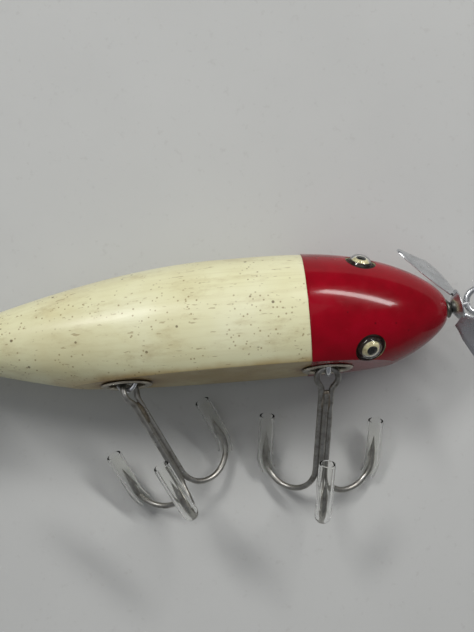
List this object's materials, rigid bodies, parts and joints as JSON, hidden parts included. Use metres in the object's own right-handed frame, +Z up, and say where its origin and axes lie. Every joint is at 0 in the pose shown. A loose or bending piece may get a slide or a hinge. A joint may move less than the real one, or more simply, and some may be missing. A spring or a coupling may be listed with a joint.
{
  "type": "surface propeller lure",
  "caption": "Wooden side-floating topwater fishing lure with a propeller at nose and tail, glass eyes, swinging treble hooks in cups and clear point guards.",
  "frame": {"origin": "centre of the line tie's ring, ahead of the nose", "axes": "+X along the body's axis out of the nose, +Z up from the table that the lure lies on, +Y away from its flat belly"},
  "size_m": [0.1393, 0.0491, 0.0246],
  "materials": {
    "cream_lacquered_wood": "aged ivory gloss lacquer over turned wood",
    "red_lacquer": "deep red dipped gloss lacquer",
    "eye_glass": "clear polished glass",
    "eye_iris": "cream-yellow enamel",
    "eye_pupil": "black enamel",
    "nickel": "dull aged nickel plate",
    "dark_nickel": "darkened nickel plate",
    "hook_bronze": "dark bronzed steel worn to grey",
    "clear_vinyl": "clear, slightly yellow-green vinyl tube",
    "eye_stem_steel": "soft iron wire"
  },
  "bodies": {
    "lure_body": {"wood_body": "cream_lacquered_wood", "red_head_coat": "red_lacquer", "front_hook_cup": "nickel", "rear_hook_cup": "nickel", "front_hook_screw_eye": "nickel", "rear_hook_screw_eye": "nickel", "nose_bearing_cone": "dark_nickel", "tail_bearing_cone": "dark_nickel", "front_thrust_washer": "nickel", "tail_thrust_washer": "nickel", "line_tie_screw_eye": "nickel", "tail_screw_eye": "nickel", "left_eye_glass": "eye_glass", "left_eye_iris": "eye_iris", "left_eye_pupil": "eye_pupil", "left_eye_wire": "eye_stem_steel", "right_eye_glass": "eye_glass", "right_eye_iris": "eye_iris", "right_eye_pupil": "eye_pupil", "right_eye_wire": "eye_stem_steel"},
    "front_propeller_body": {"front_propeller": "nickel"},
    "tail_propeller_body": {"tail_propeller": "nickel"},
    "front_treble_body": {"front_treble": "hook_bronze", "front_guard_1": "clear_vinyl", "front_guard_2": "clear_vinyl", "front_guard_3": "clear_vinyl"},
    "rear_treble_body": {"rear_treble": "hook_bronze", "rear_guard_1": "clear_vinyl", "rear_guard_2": "clear_vinyl", "rear_guard_3": "clear_vinyl"},
    "tail_treble_body": {"tail_treble": "hook_bronze", "tail_guard_1": "clear_vinyl", "tail_guard_2": "clear_vinyl", "tail_guard_3": "clear_vinyl"}
  },
  "joints": [
    {"name": "front_propeller_spin", "type": "hinge", "parent": "lure_body", "child": "front_propeller_body", "pos_m": [-0.00435, -0.00069, 0], "axis": [0.9877, 0.1564, 0], "continuous": true},
    {"name": "tail_propeller_spin", "type": "hinge", "parent": "lure_body", "child": "tail_propeller_body", "pos_m": [-0.10342, -0.001, 0], "axis": [-1, 0, 0], "continuous": true},
    {"name": "front_treble_swing", "type": "hinge", "parent": "lure_body", "child": "front_treble_body", "pos_m": [-0.02872, -0.01099, 0.00155], "axis": [0, -0.3404, 0.9403], "range_deg": [-12, 42]},
    {"name": "rear_treble_swing", "type": "hinge", "parent": "lure_body", "child": "rear_treble_body", "pos_m": [-0.06512, -0.0093, 0.00185], "axis": [-0.3746, 0.2023, 0.9049], "range_deg": [-50, 15]},
    {"name": "tail_treble_swing", "type": "hinge", "parent": "lure_body", "child": "tail_treble_body", "pos_m": [-0.10887, -0.001, 0], "axis": [0, 0, 1], "range_deg": [-72, 46]}
  ]
}
